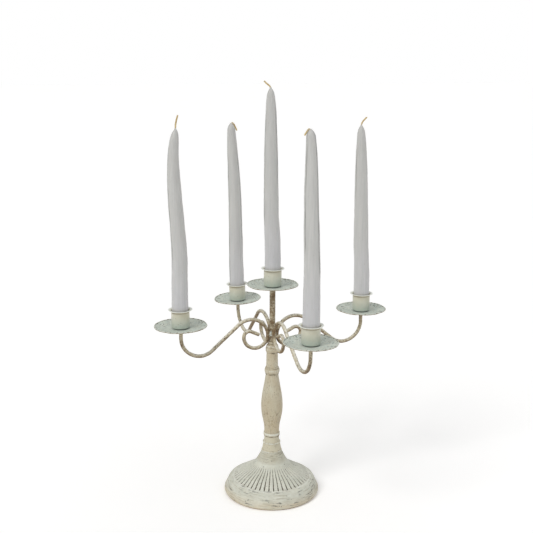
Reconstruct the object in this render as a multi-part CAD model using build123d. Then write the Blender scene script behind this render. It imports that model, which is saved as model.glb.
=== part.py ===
from build123d import *
import math
import os

# Five-light candelabrum, in millimetres. +Z is up, and the origin is the centre of the
# foot's underside, where it stands. The arms lie close to -X (left), -Y (front), +X (right)
# and +Y (back). A long rod, the stem, runs from a nut under the foot, up through the hollow
# column pieces, to the centre pan, and the four arms are welded round it above the column.

# ---- rods ----
stem_radius = 4.0
stem_bottom = 20.0
rod_radius = 2.5

# ---- foot: a hollow cast bell with radial flutes ----
foot_radius = 65.5
foot_neck_radius = 13.9
foot_edge_radius = 63.0
foot_wall = 3.0
foot_ceiling = 31.0
flute_count = 50
flute_radius = 1.35
flute_outer_end = (50.8, 22.8)
flute_middle = (38.0, 31.4)
flute_inner_end = (23.5, 44.9)

# ---- column pieces: the height of each one's top, and their common bore ----
foot_top = 59.5
collar_top = 73.0
bead_top = 87.0
baluster_top = 171.0
upper_bead_top = 181.0
sleeve_top = 202.0
cap_top = 214.0
ring_top = 217.0
stem_clearance = 0.2
column_bore = stem_radius + stem_clearance
column_wall = 2.4
baluster_waist = 14.85
sleeve_radius = 7.9
spigot_height = 2.0
spigot_gap = 0.1

# ---- washer and nut under the foot ----
washer_radius = 12.0
washer_thickness = 1.6
nut_flats = 13.0
nut_height = 6.5

# ---- bends of an arm, in its own upright plane ----
bend_radius = 26.5
arch_radius = 26.5
arch_top = 250.3
scroll_radius = 17.2
scroll_bottom = 210.0
curl_radius = 7.2
curl_angle = 116.0
curl_tail = 12.5
weld_gap = 0.05
weld_out = 4.9
weld_half_sizes = (2.6, 2.8, 5.2)

# ---- drip pan, cup and screw: heights above the end of the arm ----
pan_radius = 34.5
pan_floor_radius = 13.0
pan_thickness = 0.8
pan_rise = 3.1
pan_rim_radius = 0.7
pan_height = pan_rise + pan_thickness + pan_rim_radius
cup_radius = 11.8
cup_wall = 0.6
cup_floor = 1.0
cup_height = 25.1
cup_corner = 3.0
flange_radius = 15.75
flange_thickness = 0.8
flange_rise = 0.7
flange_bend = 1.0
screw_radius = 1.5
screw_hole_radius = 1.55
screw_hole_depth = 8.0
screw_reach = 6.0
screw_head_radius = 2.8
screw_head_height = 1.8
screw_slot_width = 0.7
screw_slot_depth = 0.6

# ---- candle and wick ----
candle_gap = 0.2
candle_base = pan_thickness + cup_floor + screw_head_height + candle_gap
held_height = 26.0
held_wax_radius = 10.7
wick_radius = 0.9
wick_root = 8.0
wick_bend_limit = 5.0

# Each arm is bent by hand, so no two are quite alike: its azimuth, its reach to the pan's
# centre, the heights of the pan's rim and of the low bend, and how far its end leans
# outwards and the whole arm leans sideways, in degrees.
arms = {
    "left": (180.7, 128.0, 253.2, 208.2, 0.8, 0.0),
    "front": (-90.3, 129.0, 254.7, 208.1, 0.0, 0.0),
    "right": (-1.5, 131.0, 252.1, 206.5, 0.0, 0.0),
    "back": (91.5, 129.4, 246.2, 202.6, 0.0, -2.4),
}
centre_rim_height = 297.1

# Hand-dipped tapers. The wax radius goes with fractions of the length, and a warped candle
# stands aside from its cup's axis, by these distances at five of those fractions, in the
# upright plane at warp_azimuth.
body_fractions = (0.35, 0.6, 0.8, 0.9, 1.0)
wax_radii = {0.0: 10.8, 0.22: 10.4, 0.35: 10.0, 0.48: 9.6, 0.6: 9.2, 0.7: 8.7, 0.8: 7.9}
pointed_tip = {0.9: 6.6, 0.955: 5.4, 0.985: 3.6, 1.0: 1.4}
blunt_tip = {0.9: 6.8, 0.955: 6.0, 0.985: 4.6, 1.0: 1.9}
warp_azimuth = -21.2

# For each candle: wax length, the five distances, the shape of its tip, and the free end
# of its wick as (aside, up) steps from the tip.
candles = {
    "left": (251.7, (1.4, -1.5, -3.2, -2.3, 1.0), pointed_tip, ((0.5, 6.0), (1.8, 12.0), (3.6, 17.7))),
    "front": (255.7, (0.0, -1.5, -2.3, -2.7, -4.1), blunt_tip, ((-1.6, 0.9), (-4.6, -2.2), (-7.4, -7.0))),
    "right": (251.7, (-2.3, -3.7, -5.0, -5.7, -6.4), pointed_tip, ((0.4, 2.6), (3.2, 7.2), (7.6, 11.8))),
    "back": (254.6, (1.1, 2.4, 1.9, 1.6, 1.5), blunt_tip, ((1.6, 1.4), (4.6, -2.2), (7.9, -10.4))),
    "centre": (256.4, (-2.4, -3.0, -3.3, -3.5, -3.9), pointed_tip, ((-0.7, 1.7), (-4.4, 5.2), (-8.9, 9.4))),
}


# ---- helpers ----
def lathe(*outline):
    """Turn a closed outline about Z. Its X is the radius and its Y is the height."""
    edges = [edge for piece in outline for edge in piece.edges()]
    return revolve(Plane.XZ * make_face(edges), Axis.Z)


def turned(*profile):
    """A turned column piece: its outer profile, from low to high, closed by the bore."""
    low, high = profile[0] @ 0, profile[-1] @ 1
    return lathe(*profile, Polyline(high, (column_bore, high.Y), (column_bore, low.Y), low))


def ring(radius, bore, bottom, top):
    return Pos(0, 0, bottom) * extrude(Circle(radius) - Circle(bore), top - bottom)


def rod(path, radius):
    return sweep(Plane(path @ 0, z_dir=path % 0) * Circle(radius), path)


# ---- foot and its fixing ----
def flute():
    """One groove's cutter: a bent round bar that fades out inwards and ends in a ball."""
    path = Plane.XZ * ThreePointArc(flute_outer_end, flute_middle, flute_inner_end)
    return rod(path, flute_radius) + Pos(path @ 0) * Sphere(flute_radius)


def base_foot():
    outside = Spline(
        (foot_edge_radius, 0), (foot_radius, 3.0), (62.5, 11.8), (58.7, 19.0), (52.0, 22.0),
        (43.0, 28.2), (29.0, 36.8), (19.05, 48.7), (foot_neck_radius, foot_top),
    )
    inside = Spline(
        (33.0, foot_ceiling), (41.3, 25.7), (50.4, 19.2), (56.4, 16.4), (59.6, 10.8),
        (foot_radius - foot_wall, 3.0), (foot_edge_radius - foot_wall, 0),
    )
    neck = Polyline(outside @ 1, (column_bore, foot_top), (column_bore, foot_ceiling), inside @ 0)
    shell = lathe(outside, neck, inside, Line(inside @ 1, outside @ 0))
    return shell - PolarLocations(0, flute_count) * flute()


def base_washer():
    return ring(washer_radius, column_bore, foot_ceiling - washer_thickness, foot_ceiling)


def base_nut():
    bottom = foot_ceiling - washer_thickness - nut_height
    hexagon = RegularPolygon(nut_flats / 2, 6, major_radius=False)
    return Pos(0, 0, bottom) * extrude(hexagon - Circle(stem_radius), nut_height)


# ---- column, from the foot up ----
def base_collar():
    """A short flared sleeve with a thin lip at each end."""
    low_lip = ThreePointArc((13.3, foot_top), (14.1, foot_top + 0.9), (13.3, foot_top + 1.8))
    flare = Line(low_lip @ 1, (11.6, collar_top - 1.8))
    top_lip = ThreePointArc(flare @ 1, (12.4, collar_top - 0.9), (11.6, collar_top))
    return turned(low_lip, flare, top_lip)


def lower_bead():
    """A waisted spool with a round bead on top, which the baluster stands on."""
    spool = ThreePointArc((10.8, collar_top), (10.3, 77.5), (10.6, 81.4))
    bead = ThreePointArc(spool @ 1, (11.5, 84.2), (10.4, bead_top))
    return turned(spool, bead)


def baluster():
    """The pear-shaped body of the column, hollow inside."""
    outside = Spline(
        (10.2, bead_top), (10.8, 97.0), (13.5, 110.5), (baluster_waist, 126.0),
        (13.6, 141.0), (11.0, 156.0), (8.6, baluster_top),
    )
    low, high = bead_top + column_wall, baluster_top - column_wall
    cavity = Spline(
        (10.2 - column_wall, low), (13.5 - column_wall, 110.5), (baluster_waist - column_wall, 126.0),
        (13.6 - column_wall, 141.0), (8.7 - column_wall, high),
    )
    return turned(outside) - turned(cavity)


def spigot(bottom):
    """The locating step that holds an end of the neck sleeve central."""
    bore_of_sleeve = sleeve_radius - column_wall
    return ring(bore_of_sleeve - spigot_gap, column_bore, bottom, bottom + spigot_height)


def upper_bead():
    """A ring-shaped bead between two narrow fillets, with a spigot for the sleeve."""
    low_step = ThreePointArc((8.9, baluster_top), (9.4, 171.6), (8.9, 172.4))
    bead = ThreePointArc(low_step @ 1, (10.3, 176.0), (8.9, 179.6))
    top_step = ThreePointArc(bead @ 1, (9.2, 180.3), (8.6, upper_bead_top))
    return turned(low_step, bead, top_step) + spigot(upper_bead_top)


def neck_sleeve():
    outside = Line((sleeve_radius + 0.2, upper_bead_top), (sleeve_radius - 0.2, sleeve_top))
    bore_of_sleeve = sleeve_radius - column_wall
    return lathe(
        outside,
        Polyline(outside @ 1, (bore_of_sleeve, sleeve_top), (bore_of_sleeve, upper_bead_top), outside @ 0),
    )


def top_cap():
    """A thick rounded rim under a dome that closes the column round the stem."""
    rim = ThreePointArc((7.9, sleeve_top), (8.9, 205.5), (8.3, 209.4))
    dome = ThreePointArc(rim @ 1, (7.2, 212.2), (5.4, cap_top))
    return turned(rim, dome) + spigot(sleeve_top - spigot_height)


def stem_ring():
    """A ring fast on the stem, which the nut pulls down on the cap."""
    outside = ThreePointArc((5.0, cap_top), (5.4, cap_top + 1.5), (4.9, ring_top))
    return lathe(outside, Polyline(outside @ 1, (stem_radius, ring_top), (stem_radius, cap_top), outside @ 0))


# ---- stem and arms ----
def screw_hole():
    """The threaded hole, as a plain bore, down from the end of an arm or of the stem."""
    return Pos(0, 0, -screw_hole_depth / 2) * Cylinder(screw_hole_radius, screw_hole_depth)


def stem_rod():
    top = centre_rim_height - pan_height
    bar = Pos(0, 0, stem_bottom) * extrude(Circle(stem_radius), top - stem_bottom)
    return bar - Pos(0, 0, top) * screw_hole()


def arm_place(name):
    """Where an arm's own plane, with X outwards, stands in the whole object."""
    azimuth, sideways = arms[name][0], arms[name][5]
    weld_height = scroll_bottom + scroll_radius
    lean = Pos(0, 0, weld_height) * Rot(sideways, 0, 0) * Pos(0, 0, -weld_height)
    return Rot(0, 0, azimuth) * lean


def holder_place(name):
    """The centre of the end face that carries a pan, with Z along the rod's end."""
    if name == "centre":
        return Pos(0, 0, centre_rim_height - pan_height)
    reach, rim_height, outward = arms[name][1], arms[name][2], arms[name][4]
    return arm_place(name) * Pos(reach, 0, rim_height - pan_height) * Rot(0, outward, 0)


def arm_path(name):
    """Down from the pan, round the low bend, up to the arch, and round the scroll."""
    _, reach, rim_height, bend_low, outward, _ = arms[name]
    lean = math.radians(outward)

    scroll_x = stem_radius + weld_gap + rod_radius + scroll_radius
    scroll_y = scroll_bottom + scroll_radius
    arch_y = arch_top - arch_radius
    arch_x = scroll_x + math.sqrt((arch_radius - scroll_radius) ** 2 - (arch_y - scroll_y) ** 2)
    join_angle = math.degrees(math.atan2(scroll_y - arch_y, scroll_x - arch_x))

    bend_y = bend_low + bend_radius
    straight_end = (rim_height - pan_height - bend_y + bend_radius * math.sin(lean)) / math.cos(lean)
    bend_x = reach - straight_end * math.sin(lean) - bend_radius * math.cos(lean)
    across, up = bend_x - arch_x, bend_y - arch_y
    slope = math.degrees(
        math.asin((bend_radius + arch_radius) / math.hypot(across, up)) - math.atan2(up, across)
    )

    bend = CenterArc((bend_x, bend_y), bend_radius, -outward, outward - 90 - slope)
    arch = CenterArc((arch_x, arch_y), arch_radius, 90 - slope, join_angle - 90 + slope)
    scroll = CenterArc((scroll_x, scroll_y), scroll_radius, join_angle, 360 - join_angle)
    curl = CenterArc((scroll_x + scroll_radius - curl_radius, scroll_y), curl_radius, 0, curl_angle)
    end = Line((reach, rim_height - pan_height), bend @ 0)
    tail = Line(curl @ 1, curl @ 1 + (curl % 1) * curl_tail)
    return Plane.XZ * Wire([end, bend, Line(bend @ 1, arch @ 0), arch, scroll, curl, tail])


def arm(name):
    return arm_place(name) * rod(arm_path(name), rod_radius) - holder_place(name) * screw_hole()


def arm_welds():
    """Four weld beads, one in the angle between the stem and each arm."""
    bead = Pos(weld_out, 0, scroll_bottom + scroll_radius) * scale(Sphere(1), by=weld_half_sizes)
    stem = stem_rod()
    return Compound(children=[arm_place(name) * bead - stem - arm(name) for name in arms])


# ---- what stands on the end of each arm and of the stem ----
def drip_pan(name):
    """A shallow pressed saucer with a rolled rim."""
    rim_x = pan_radius - pan_rim_radius
    under = TangentArc((pan_floor_radius, 0), (rim_x, pan_rise), tangent=(1, 0))
    top = TangentArc(
        (pan_floor_radius, pan_thickness), (rim_x, pan_rise + pan_thickness), tangent=(1, 0)
    )
    sheet = make_face([
        *Polyline(under @ 0, (screw_hole_radius, 0), (screw_hole_radius, pan_thickness), top @ 0).edges(),
        under, top, Line(under @ 1, top @ 1),
    ])
    rim = Pos(rim_x, pan_rise + pan_thickness) * Circle(pan_rim_radius)
    return holder_place(name) * revolve(Plane.XZ * (sheet + rim), Axis.Z)


def candle_cup(name):
    """A straight cup with rounded foot and a flange that turns out and slightly up."""
    inner_radius = cup_radius - cup_wall
    inner_corner = cup_corner - cup_wall
    under_flange = cup_height - flange_rise - flange_thickness
    floor = Line((screw_hole_radius, 0), (cup_radius - cup_corner, 0))
    foot = TangentArc(floor @ 1, (cup_radius, cup_corner), tangent=(1, 0))
    wall = Line(foot @ 1, (cup_radius, under_flange - flange_bend))
    under_bend = TangentArc(wall @ 1, (cup_radius + flange_bend, under_flange), tangent=(0, 1))
    under = Line(under_bend @ 1, (flange_radius - flange_thickness / 2, cup_height - flange_thickness))
    edge = ThreePointArc(
        under @ 1,
        (flange_radius, cup_height - flange_thickness / 2),
        (flange_radius - flange_thickness / 2, cup_height),
    )
    mouth = Line(edge @ 1, (inner_radius + flange_bend + cup_wall, cup_height - flange_rise))
    mouth_bend = TangentArc(
        (inner_radius, cup_height - flange_rise - flange_bend - cup_wall), mouth @ 1, tangent=(0, 1)
    )
    inner_wall = Line(mouth_bend @ 0, (inner_radius, cup_floor + inner_corner))
    inner_foot = TangentArc((inner_radius - inner_corner, cup_floor), inner_wall @ 1, tangent=(1, 0))
    inner_floor = Polyline(inner_foot @ 0, (screw_hole_radius, cup_floor), floor @ 0)
    cup = lathe(
        floor, foot, wall, under_bend, under, edge, mouth, mouth_bend, inner_wall, inner_foot, inner_floor
    )
    return holder_place(name) * Pos(0, 0, pan_thickness) * cup


def cup_screw(name):
    """The slotted screw inside a cup, through the cup and the pan into the rod's end."""
    head_base = pan_thickness + cup_floor
    head_top = head_base + screw_head_height
    shank = Pos(0, 0, -screw_reach) * extrude(Circle(screw_radius), screw_reach + head_base)
    head = Pos(0, 0, head_base) * extrude(Circle(screw_head_radius), screw_head_height)
    slot = Pos(0, 0, head_top) * Box(2 * screw_head_radius, screw_slot_width, 2 * screw_slot_depth)
    return holder_place(name) * (shank + head - slot)


# ---- candles ----
def candle_place(name):
    """A candle's foot, with Z up the cup's axis and X along the way the wax warps."""
    azimuth = 0 if name == "centre" else arms[name][0]
    return holder_place(name) * Rot(0, 0, warp_azimuth - azimuth) * Pos(0, 0, candle_base)


def aside(name, fraction):
    """How far the wax stands aside of its cup's axis, at a fraction of its length."""
    offsets = candles[name][1]
    for low, high, start, end in zip(body_fractions, body_fractions[1:], offsets, offsets[1:]):
        if low <= fraction <= high:
            return start + (end - start) * (fraction - low) / (high - low)
    return 0


def wick(name):
    """The cotton wick's end: rooted in the wax, then bent over as it has been left."""
    length, offsets, _, steps = candles[name]
    tip = Vector(offsets[-1], length)
    points = [tip - (0, wick_root), *(tip + step for step in ((0, 0), *steps) if step != (0, 0))]
    radii = []
    for before, corner, after in zip(points, points[1:], points[2:]):
        half_turn = math.radians((corner - before).get_angle(after - corner)) / 2
        shorter = min((corner - before).length, (after - corner).length)
        radii.append(min(0.45 * shorter / math.tan(half_turn), wick_bend_limit))
    path = Plane.XZ * FilletPolyline(*points, radius=radii)
    return candle_place(name) * rod(path, wick_radius)


def candle(name):
    """A dipped taper, straight where the cup holds it and warped above."""
    length, _, tip_radii, _ = candles[name]
    radii = {**wax_radii, held_height / length: held_wax_radius, **tip_radii}
    slices = [
        Pos(aside(name, fraction), 0, fraction * length) * Circle(radius)
        for fraction, radius in sorted(radii.items())
    ]
    return candle_place(name) * loft(slices, ruled=True) - wick(name)


# ---- the files ----
def pieces():
    """Every piece by name, each in its place in the whole object."""
    for make in (
        base_foot, base_washer, base_nut, base_collar, lower_bead, baluster, upper_bead,
        neck_sleeve, top_cap, stem_ring, stem_rod, arm_welds,
    ):
        yield make.__name__, make()
    for name in arms:
        yield f"arm_{name}", arm(name)
    for make in (drip_pan, candle_cup, cup_screw, candle, wick):
        for name in candles:
            yield f"{make.__name__}_{name}", make(name)


os.makedirs("parts", exist_ok=True)
for node, solid in pieces():
    export_step(solid, f"parts/{node}.step")
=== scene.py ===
import math

import bmesh
import bpy
import numpy as np
from mathutils import Matrix, Vector


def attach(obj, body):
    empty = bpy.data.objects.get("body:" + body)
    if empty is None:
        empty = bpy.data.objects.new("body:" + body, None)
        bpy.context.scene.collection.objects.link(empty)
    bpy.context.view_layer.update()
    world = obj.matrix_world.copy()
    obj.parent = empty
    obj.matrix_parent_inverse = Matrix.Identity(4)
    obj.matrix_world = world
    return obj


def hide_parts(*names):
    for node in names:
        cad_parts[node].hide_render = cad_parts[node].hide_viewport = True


# A five-light candelabrum in distressed cream paint, with warped taper candles. Lengths are
# millimetres, as in the CAD model, and make_piece turns them into metres. Azimuths are degrees
# round the stem from +X, towards +Y.

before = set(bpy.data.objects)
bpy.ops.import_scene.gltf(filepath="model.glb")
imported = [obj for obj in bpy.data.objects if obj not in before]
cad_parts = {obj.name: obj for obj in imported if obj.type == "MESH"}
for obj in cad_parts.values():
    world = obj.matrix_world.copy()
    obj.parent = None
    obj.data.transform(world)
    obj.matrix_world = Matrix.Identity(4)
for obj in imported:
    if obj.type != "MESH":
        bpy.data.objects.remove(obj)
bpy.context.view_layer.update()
MM = 0.001
FULL_TURN = 2 * math.pi

# ---- dimensions shared with the CAD model ----
STEM_RADIUS = 4.0
BORE = 4.2
# each arm's rod, and its curves from the pan inwards: bend, arch, scroll, curl and straight tail
ROD_RADIUS = 2.5
WELD_GAP = 0.05
WELD_HEIGHT = 227.2
ARCH_TOP = 250.3
BEND_RADIUS = 26.5
ARCH_RADIUS = 26.5
SCROLL_RADIUS = 17.2
CURL_RADIUS = 7.2
TAIL_LENGTH = 12.5
# the rim of the centre pan, and heights above the end of the rod that carries a pan
CENTRE_RIM = 297.1
PAN_HEIGHT = 4.6
PAN_THICKNESS = 0.8
CANDLE_BASE = 3.8
# how much of a candle stands in its cup, its radius there, and the way that the wax warps
HELD_HEIGHT = 26.0
HELD_RADIUS = 10.7
WARP_AZIMUTH = -21.2

# azimuth, reach, rim height, lowest point of the bend, outward lean, sideways lean
ARMS = {
    "left": (180.7, 128.0, 253.2, 208.2, 0.8, 0.0),
    "front": (-90.3, 129.0, 254.7, 208.1, 0.0, 0.0),
    "right": (-1.5, 131.0, 252.1, 206.5, 0.0, 0.0),
    "back": (91.5, 129.4, 246.2, 202.6, 0.0, -2.4),
}
# parts of the wax's length: where it stands aside by the amounts in CANDLES, and its radii
ASIDE_AT = (0.0, 0.35, 0.6, 0.8, 0.9, 1.0)
WAX_RADII = {0.22: 10.4, 0.35: 10.0, 0.48: 9.6, 0.6: 9.2, 0.7: 8.7, 0.8: 7.9}
POINTED_TIP = {0.9: 6.6, 0.955: 5.4, 0.985: 3.6, 1.0: 1.4}
BLUNT_TIP = {0.9: 6.8, 0.955: 6.0, 0.985: 4.6, 1.0: 1.9}
# wax length, how far it stands aside, the tip, and the wick's places from the tip
CANDLES = {
    "left": (251.7, (1.4, -1.5, -3.2, -2.3, 1.0), POINTED_TIP, ((0.5, 6.0), (1.8, 12.0), (3.6, 17.7))),
    "front": (255.7, (0.0, -1.5, -2.3, -2.7, -4.1), BLUNT_TIP, ((-1.6, 0.9), (-4.6, -2.2), (-7.4, -7.0))),
    "right": (251.7, (-2.3, -3.7, -5.0, -5.7, -6.4), POINTED_TIP, ((0.4, 2.6), (3.2, 7.2), (7.6, 11.8))),
    "back": (254.6, (1.1, 2.4, 1.9, 1.6, 1.5), BLUNT_TIP, ((1.6, 1.4), (4.6, -2.2), (7.9, -10.4))),
    "centre": (256.4, (-2.4, -3.0, -3.3, -3.5, -3.9), POINTED_TIP, ((-0.7, 1.7), (-4.4, 5.2), (-8.9, 9.4))),
}
# long creases in the wax: degrees from WARP_AZIMUTH, and both ends as parts of the wax's length
CREASES = {
    "left": ((211, 0.3, 0.93),),
    "front": ((213, 0.42, 1.04), (328, 0.3, 1.04)),
    "right": ((209, 0.6, 0.9),),
    "back": ((208, 0.08, 0.86), (334, 0.3, 0.9)),
    "centre": ((209, 0.3, 0.9), (333, 0.5, 0.95)),
}


# ---- camera, light and floor ----
def add_camera():
    """A viewpoint between the left and front arms, a little above level."""
    elevation, roll = math.radians(12.94), math.radians(0.27)
    target, distance = Vector((-7.71, 2.99, 320.46)) * MM, 1198.1 * MM
    ahead_x, ahead_y, level = 0.3616, 0.9323, math.cos(elevation)
    forward = Vector((ahead_x * level, ahead_y * level, -math.sin(elevation))).normalized()
    right = Vector((ahead_y, -ahead_x, 0)).normalized()
    up = right.cross(forward)
    across = math.cos(roll) * right + math.sin(roll) * up
    upward = -math.sin(roll) * right + math.cos(roll) * up
    lens = bpy.data.cameras.new("camera")
    lens.lens, lens.sensor_width = 60.98, 36.0
    lens.clip_start = 0.05
    camera = bpy.data.objects.new("camera", lens)
    turn = Matrix((across, upward, -forward)).transposed().to_4x4()
    camera.matrix_world = Matrix.Translation(target - distance * forward) @ turn
    bpy.context.scene.collection.objects.link(camera)
    bpy.context.scene.camera = camera


def add_light(name, azimuth, elevation, strength, width, tint):
    """A distant lamp of this angular width. Its azimuth is from the front, -Y, towards +X."""
    lamp = bpy.data.lights.new(name, "SUN")
    lamp.energy, lamp.angle, lamp.color = strength, math.radians(width), tint
    light = bpy.data.objects.new(name, lamp)
    light.matrix_world = turning(azimuth, "Z") @ turning(90 - elevation, "X")
    bpy.context.scene.collection.objects.link(light)


def add_studio():
    """White surroundings, dimmer as a light than as they are seen, and three soft lamps."""
    world = bpy.data.worlds.new("studio")
    bpy.context.scene.world = world
    world.use_nodes = True
    nodes, links = world.node_tree.nodes, world.node_tree.links
    path, strength = nodes.new("ShaderNodeLightPath"), nodes.new("ShaderNodeMapRange")
    links.new(path.outputs["Is Camera Ray"], strength.inputs["Value"])
    strength.inputs["To Min"].default_value, strength.inputs["To Max"].default_value = 0.36, 1.0
    nodes["Background"].inputs["Color"].default_value = (1, 1, 1, 1)
    links.new(strength.outputs[0], nodes["Background"].inputs["Strength"])
    add_light("key", -66, 44, 1.1, 26, (1.0, 0.985, 0.96))
    add_light("fill", 12, 25, 0.07, 60, (0.95, 0.98, 1.0))
    add_light("overhead", 90, 80, 0.95, 90, (1.0, 1.0, 1.0))
    bpy.context.scene.view_settings.view_transform = "Standard"


def add_floor():
    """A pale floor that glows a little, wide enough to have no edge in view. In metres."""
    half = 20
    mesh = bpy.data.meshes.new("floor")
    corners = [(-half, -half, 0), (half, -half, 0), (half, half, 0), (-half, half, 0)]
    mesh.from_pydata(corners, [], [(0, 1, 2, 3)])
    floor = bpy.data.objects.new("floor", mesh)
    bpy.context.scene.collection.objects.link(floor)
    f = Finish("floor_pale", {
        "Roughness": 0.9, "Specular IOR Level": 0.2,
        "Emission Color": (1, 1, 1, 1), "Emission Strength": 0.13,
    })
    clouds = f.mix(f.noise(300, detail=1), colour(253, 253, 253), colour(255, 255, 255))
    f.feed(f.shader.inputs["Base Color"], clouds)
    mesh.materials.append(f.material)


# ---- materials ----
def colour(red, green, blue):
    """A colour for a shader, from its usual screen values."""
    return tuple(((v / 255 + 0.055) / 1.055) ** 2.4 for v in (red, green, blue)) + (1.0,)


class Finish:
    """A procedural material in the piece's own coordinates. Patterns are in mm, height in metres."""

    def __init__(self, name, settings):
        self.material = bpy.data.materials.new(name)
        self.material.use_nodes = True
        self.tree = self.material.node_tree
        self.tree.nodes.clear()
        self.shader = self.node("BsdfPrincipled", settings)
        self.node("OutputMaterial", {"Surface": self.shader.outputs[0]})
        self.places = self.node("TexCoord").outputs["Object"]
        self.height = self.node("SeparateXYZ", {"Vector": self.places}).outputs["Z"]

    def feed(self, socket, value):
        """Links a socket to another one's value, or sets it to a plain value."""
        if isinstance(value, bpy.types.NodeSocket):
            self.tree.links.new(value, socket)
        else:
            socket.default_value = value

    def node(self, kind, inputs=None, **settings):
        made = self.tree.nodes.new("ShaderNode" + kind)
        for key, value in settings.items():
            setattr(made, key, value)
        for key, value in (inputs or {}).items():
            self.feed(made.inputs[key], value)
        return made

    def scaled(self, size, stretch, seed):
        """The piece's places divided by size mm times the stretch, moved to a spot of their own."""
        scale = [1 / (size * MM * s) for s in stretch]
        place = (seed, 1.7 * seed, 0.6 * seed)
        return self.node("Mapping", {"Vector": self.places, "Location": place, "Scale": scale}).outputs[0]

    def noise(self, size, stretch=(1, 1, 1), detail=3.0, seed=0.0):
        """Cloudy noise with features about size mm across, longer by the stretch along X, Y, Z."""
        mapped = self.scaled(size, stretch, seed)
        inputs = {"Vector": mapped, "Scale": 1.0, "Detail": detail, "Roughness": 0.55}
        return self.node("TexNoise", inputs).outputs[0]

    def cells(self, size, seed):
        """Distance from scattered points about size mm apart."""
        mapped = self.scaled(size, (1, 1, 1), seed)
        return self.node("TexVoronoi", {"Vector": mapped, "Scale": 1.0}).outputs["Distance"]

    def step(self, value, low, high):
        """0 below low and 1 above high, or the other way round if low is the larger."""
        inputs = {"Value": value, "From Min": low, "From Max": high}
        return self.node("MapRange", inputs, interpolation_type="SMOOTHSTEP").outputs[0]

    def spread(self, value, low, high):
        """A noise value, mostly 0.3 to 0.7, brought to the range from low to high."""
        inputs = {"Value": value, "From Min": 0.3, "From Max": 0.7, "To Min": low, "To Max": high}
        return self.node("MapRange", inputs).outputs[0]

    def math(self, operation, first, second):
        made = self.node("Math", operation=operation)
        self.feed(made.inputs[0], first)
        self.feed(made.inputs[1], second)
        return made.outputs[0]

    def product(self, *values):
        total = values[0]
        for value in values[1:]:
            total = self.math("MULTIPLY", total, value)
        return total

    def mix(self, amount, under, over):
        """The colour under, covered by the colour over by this amount."""
        made = self.node("Mix", data_type="RGBA")
        for index, value in ((0, amount), (6, under), (7, over)):
            self.feed(made.inputs[index], value)
        return made.outputs[2]

    def painted(self, name):
        """A value that the mesh carries at its points."""
        return self.node("Attribute", attribute_name=name).outputs["Fac"]

    def done(self, base, roughness, bumps):
        """Joins the colour, the roughness and (height, depth in mm) bumps to the shader."""
        self.feed(self.shader.inputs["Base Color"], base)
        self.feed(self.shader.inputs["Roughness"], roughness)
        normal = None
        for height, depth in bumps:
            made = self.node("Bump", {"Height": height, "Distance": depth * MM, "Strength": 1.0})
            if normal is not None:
                self.feed(made.inputs["Normal"], normal)
            normal = made.outputs[0]
        self.feed(self.shader.inputs["Normal"], normal)
        return self.material


def foot_paint():
    f = Finish("foot_paint", {"Specular IOR Level": 0.3})
    groove, edge = f.painted("groove"), f.painted("edge")
    base = f.mix(f.spread(f.noise(16, seed=1), 0, 1), colour(199, 202, 190), colour(224, 226, 215))
    base = f.mix(f.spread(f.noise(3.2, detail=4, seed=2), 0, 0.55), base, colour(206, 203, 186))
    low = f.product(f.step(f.height, 0.016, 0.003), f.spread(f.noise(9, (3, 3, 0.6), seed=3), 0.35, 1.0))
    base = f.mix(f.product(low, 0.85), base, colour(204, 190, 162))
    # Painted highlight: the ridges beside the flutes and the lips are lightened to near white.
    highlight = f.product(edge, f.spread(f.noise(2.2, seed=4), 0.0, 1.0))
    base = f.mix(highlight, base, colour(238, 239, 232))
    band = f.product(f.step(f.height, 0.0235, 0.0205), f.step(f.height, 0.002, 0.004))
    grain = f.step(f.noise(2.0, (9, 9, 0.4), detail=3, seed=5), 0.52, 0.64)
    base = f.mix(f.product(grain, f.step(f.height, 0.026, 0.018), 0.5), base, colour(158, 148, 124))
    patches = f.step(f.noise(16, (1.2, 1.2, 0.7), detail=1, seed=6), 0.46, 0.58)
    cuts = f.product(f.step(f.noise(2.3, (4.2, 4.2, 0.42), detail=4, seed=7), 0.565, 0.62), patches, band)
    base = f.mix(f.product(cuts, 0.9), base, colour(84, 84, 80))
    neck = f.step(f.height, 0.044, 0.05)
    dull = f.product(neck, f.spread(f.noise(7, (2, 2, 0.7), seed=15), 0.2, 0.9))
    base = f.mix(dull, base, colour(188, 183, 162))
    rings = f.product(f.step(f.noise(2.6, (3.5, 3.5, 0.4), detail=3, seed=14), 0.56, 0.64), neck)
    base = f.mix(f.product(rings, 0.6), base, colour(120, 112, 92))
    chips = f.product(f.step(f.cells(4.2, seed=8), 0.2, 0.12), f.step(f.noise(10, seed=9), 0.52, 0.58))
    base = f.mix(f.product(chips, 0.85), base, colour(84, 84, 78))
    # Painted shade: the flutes are darkened, most of all in the pits where they end.
    dark = f.product(groove, f.spread(f.noise(1.8, detail=4, seed=10), 0.5, 1.3))
    groove_shade = f.mix(f.noise(4, seed=11), colour(70, 66, 56), colour(122, 114, 96))
    base = f.mix(f.step(dark, 0.18, 0.8), base, groove_shade)
    base = f.mix(f.step(f.height, 0.0013, 0.0006), base, colour(150, 122, 90))
    rough = f.spread(f.noise(2.5, seed=12), 0.5, 0.75)
    return f.done(base, rough, [(f.noise(1.3, detail=4, seed=13), 0.2), (cuts, -0.25)])


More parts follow.
